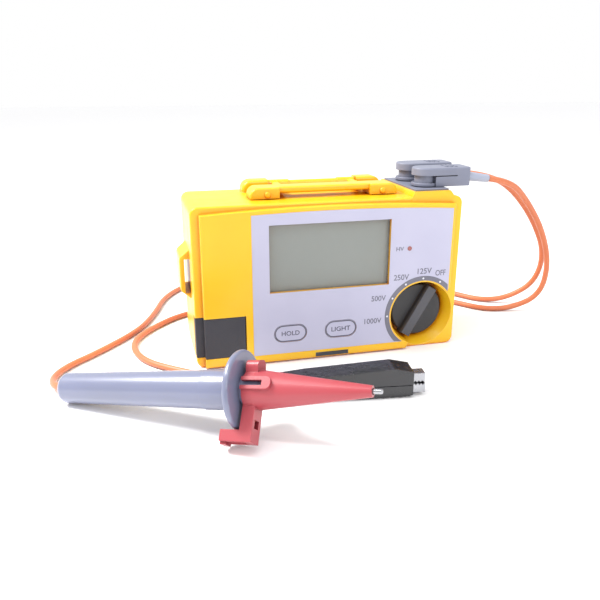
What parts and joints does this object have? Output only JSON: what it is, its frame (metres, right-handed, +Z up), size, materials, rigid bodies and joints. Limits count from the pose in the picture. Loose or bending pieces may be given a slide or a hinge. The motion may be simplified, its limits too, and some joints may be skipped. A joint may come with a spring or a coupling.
{
  "type": "insulation resistance tester",
  "caption": "Hand-held digital insulation tester with range knob, keys, folding handle, right-angle plugs, a hand probe and a clip on free leads.",
  "frame": {"origin": "on the resting surface under the middle of the case", "axes": "+X to the right along the front, +Y from the front panel to the back, +Z up"},
  "size_m": [0.3536, 0.3079, 0.1157],
  "materials": {
    "yellow_shell": "moulded yellow ABS, fine satin texture",
    "label_film": "printed lavender-grey film",
    "clear_window": "clear acrylic",
    "lcd": "grey-green liquid crystal display",
    "black_plastic": "near-black moulded plastic",
    "key_plastic": "charcoal rubberised plastic",
    "cap_plastic": "lavender-grey key caps",
    "grey_plastic": "blue-grey moulded plastic",
    "probe_grey": "pale blue-grey moulded plastic",
    "red_plastic": "red moulded plastic",
    "red_lens": "dark red lens",
    "lead_orange": "orange silicone lead",
    "boot_black": "glossy black soft vinyl boot",
    "steel": "plated steel",
    "brass": "brass contact metal",
    "board_green": "glass-fibre circuit board",
    "component_black": "moulded electronic components",
    "battery_skin": "plain dark battery sleeve",
    "seal_rubber": "seal rubber"
  },
  "bodies": {
    "root": {"front_shell": "yellow_shell", "rear_shell": "yellow_shell", "case_gasket": "seal_rubber", "case_screws": "steel", "panel_label": "label_film", "lcd_window": "clear_window", "lcd_glass": "lcd", "lcd_frame": "component_black", "lcd_connector": "seal_rubber", "hv_lamp": "red_lens", "panel_catch": "black_plastic", "rotary_switch": "component_black", "detent_plate": "steel", "measure_spring": "steel", "measure_switch": "component_black", "key_switches": "component_black", "key_board": "board_green", "board_spacers": "brass", "main_board": "board_green", "board_screws": "steel", "hv_transformer": "component_black", "hv_capacitors": "component_black", "controller_chips": "component_black", "buzzer": "component_black", "fuse": "clear_window", "fuse_clips": "brass", "batteries": "battery_skin", "battery_contacts": "steel", "battery_cover": "yellow_shell", "cover_screw": "steel", "terminal_plate": "grey_plastic", "socket_insulators": "grey_plastic", "socket_sleeves": "brass", "handle_pin": "steel", "clip_lead": "lead_orange", "probe_lead": "lead_orange", "probe_handle": "probe_grey", "probe_guard": "probe_grey", "probe_nose": "probe_grey", "probe_tip": "steel", "clip_lower_boot": "boot_black", "clip_lower_jaw": "steel", "clip_pin": "steel", "clip_spring": "steel"},
    "range_knob": {"range_knob": "black_plastic", "knob_shaft": "steel"},
    "measure_key": {"measure_key": "key_plastic"},
    "hold_key": {"hold_key": "cap_plastic"},
    "light_key": {"light_key": "cap_plastic"},
    "carry_handle": {"carry_handle": "yellow_shell"},
    "front_plug": {"front_plug_body": "grey_plastic", "front_plug_pin": "brass", "front_plug_relief": "probe_grey"},
    "rear_plug": {"rear_plug_body": "grey_plastic", "rear_plug_pin": "brass", "rear_plug_relief": "probe_grey"},
    "probe_cover": {"probe_cover": "red_plastic"},
    "clip_upper": {"clip_upper_boot": "boot_black", "clip_upper_jaw": "steel"}
  },
  "joints": [
    {"name": "range_turn", "type": "hinge", "parent": "root", "child": "range_knob", "pos_m": [0.0594, -0.025, 0.0245], "axis": [0, -1, 0], "range_deg": [0, 120]},
    {"name": "measure_press", "type": "slide", "parent": "root", "child": "measure_key", "axis": [0, 1, 0], "range_m": [0, 0.002], "stiffness_N_per_m": 1500, "springref_m": -0.0005, "deforming": ["measure_spring"]},
    {"name": "hold_press", "type": "slide", "parent": "root", "child": "hold_key", "axis": [0, 1, 0], "range_m": [0, 0.0007], "stiffness_N_per_m": 2000, "springref_m": -0.0002},
    {"name": "light_press", "type": "slide", "parent": "root", "child": "light_key", "axis": [0, 1, 0], "range_m": [0, 0.0007], "stiffness_N_per_m": 2000, "springref_m": -0.0002},
    {"name": "handle_fold", "type": "hinge", "parent": "root", "child": "carry_handle", "pos_m": [0, 0.021, 0.1028], "axis": [-1, 0, 0], "range_deg": [0, 90]},
    {"name": "front_plug_pull", "type": "slide", "parent": "root", "child": "front_plug", "axis": [0, 0, 1], "range_m": [0, 0.014]},
    {"name": "rear_plug_pull", "type": "slide", "parent": "root", "child": "rear_plug", "axis": [0, 0, 1], "range_m": [0, 0.014]},
    {"name": "cover_slide", "type": "slide", "parent": "root", "child": "probe_cover", "axis": [0.815, -0.558, 0.1564], "range_m": [0, 0.07]},
    {"name": "clip_open", "type": "hinge", "parent": "root", "child": "clip_upper", "pos_m": [-0.02087, -0.08432, 0.0077], "axis": [-0.134, -0.991, 0], "range_deg": [0, 10], "stiffness_Nm_per_rad": 0.4, "springref_deg": -11.46}
  ]
}
